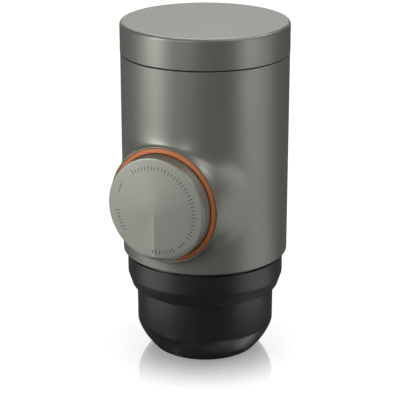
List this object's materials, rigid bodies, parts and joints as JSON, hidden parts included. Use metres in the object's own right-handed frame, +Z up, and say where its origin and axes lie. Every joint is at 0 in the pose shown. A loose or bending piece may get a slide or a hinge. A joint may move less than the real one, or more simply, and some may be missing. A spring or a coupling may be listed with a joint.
{
  "type": "handheld manual espresso maker",
  "caption": "Grey barrel with a screw lid over a water tank, a round pump knob on its side that unlocks and strokes, and a black cup that pulls off its foot over the outlet head.",
  "frame": {"origin": "centre of the cup's underside on the maker's main axis", "axes": "+Z up along the main axis, the pump knob faces -Y"},
  "size_m": [0.069, 0.0782, 0.1403],
  "materials": {
    "shell_grey": "satin grey with a metallic look",
    "lid_grey": "satin grey",
    "knob_grey": "satin grey, spun look on the face",
    "collar_orange": "orange",
    "cup_black": "satin black",
    "inner_black": "moulded black",
    "tank_smoke": "smoked, moulded",
    "steel": "brushed",
    "seal_rubber": "soft black silicone",
    "plunger_white": "moulded acetal"
  },
  "bodies": {
    "casing": {"outer_shell": "shell_grey", "water_tank": "tank_smoke", "pump_block": "inner_black", "pump_cylinder": "steel", "knob_guide": "inner_black", "guide_screws": "steel", "collar_ring": "collar_orange", "spring_seat": "steel", "return_spring": "steel", "inlet_strainer": "inner_black", "tank_floor_seal": "seal_rubber", "inlet_valve": "seal_rubber", "inlet_valve_retainer": "inner_black", "outlet_valve_spring": "steel", "outlet_valve_cap": "inner_black", "group_port_seal": "seal_rubber", "brew_group": "inner_black", "shower_screen": "steel", "shower_screen_screw": "steel", "group_gasket": "seal_rubber", "cup_grip_ring": "seal_rubber", "group_screws": "steel", "tank_screws": "steel"},
    "lid_seal": {"lid_gasket": "seal_rubber"},
    "tank_lid": {"lid_cover": "lid_grey", "lid_liner": "inner_black", "lid_vent_valve": "seal_rubber"},
    "plunger_rod": {"plunger": "plunger_white", "piston_seal": "seal_rubber", "piston_backup_ring": "plunger_white", "hub_clip": "steel"},
    "knob": {"piston_knob": "knob_grey", "knob_hub": "inner_black", "knob_screws": "steel"},
    "basket": {"filter_basket": "steel"},
    "outlet": {"outlet_head": "inner_black", "spout_tip": "seal_rubber"},
    "cup": {"drinking_cup": "cup_black"},
    "valve_ball": {"outlet_ball": "steel"}
  },
  "joints": [
    {"name": "lid_lift", "type": "slide", "parent": "casing", "child": "lid_seal", "axis": [0, 0, 1], "range_m": [0, 0.009]},
    {"name": "lid_turn", "type": "hinge", "parent": "lid_seal", "child": "tank_lid", "pos_m": [0, 0, 0.134], "axis": [0, 0, 1], "range_deg": [0, 360]},
    {"name": "piston_stroke", "type": "slide", "parent": "casing", "child": "plunger_rod", "axis": [0, -1, 0], "range_m": [0, 0.014], "deforming": ["return_spring"]},
    {"name": "knob_turn", "type": "hinge", "parent": "plunger_rod", "child": "knob", "pos_m": [0, -0.034, 0.0724], "axis": [0, -1, 0], "range_deg": [0, 45]},
    {"name": "basket_drop", "type": "slide", "parent": "casing", "child": "basket", "axis": [0, 0, -1], "range_m": [0, 0.009]},
    {"name": "head_turn", "type": "hinge", "parent": "basket", "child": "outlet", "pos_m": [0, 0, 0.036], "axis": [0, 0, -1], "range_deg": [0, 360]},
    {"name": "cup_pull", "type": "slide", "parent": "casing", "child": "cup", "axis": [0, 0, -1], "range_m": [0, 0.06]},
    {"name": "outlet_valve_lift", "type": "slide", "parent": "casing", "child": "valve_ball", "axis": [0, 0, -1], "range_m": [0, 0.0015], "stiffness_N_per_m": 200, "springref_m": -0.001, "deforming": ["outlet_valve_spring"]}
  ],
  "couplings": [
    {"joint": "lid_lift", "follows": "lid_turn", "m_per_rad": 0.001432},
    {"joint": "basket_drop", "follows": "head_turn", "m_per_rad": 0.001432}
  ]
}
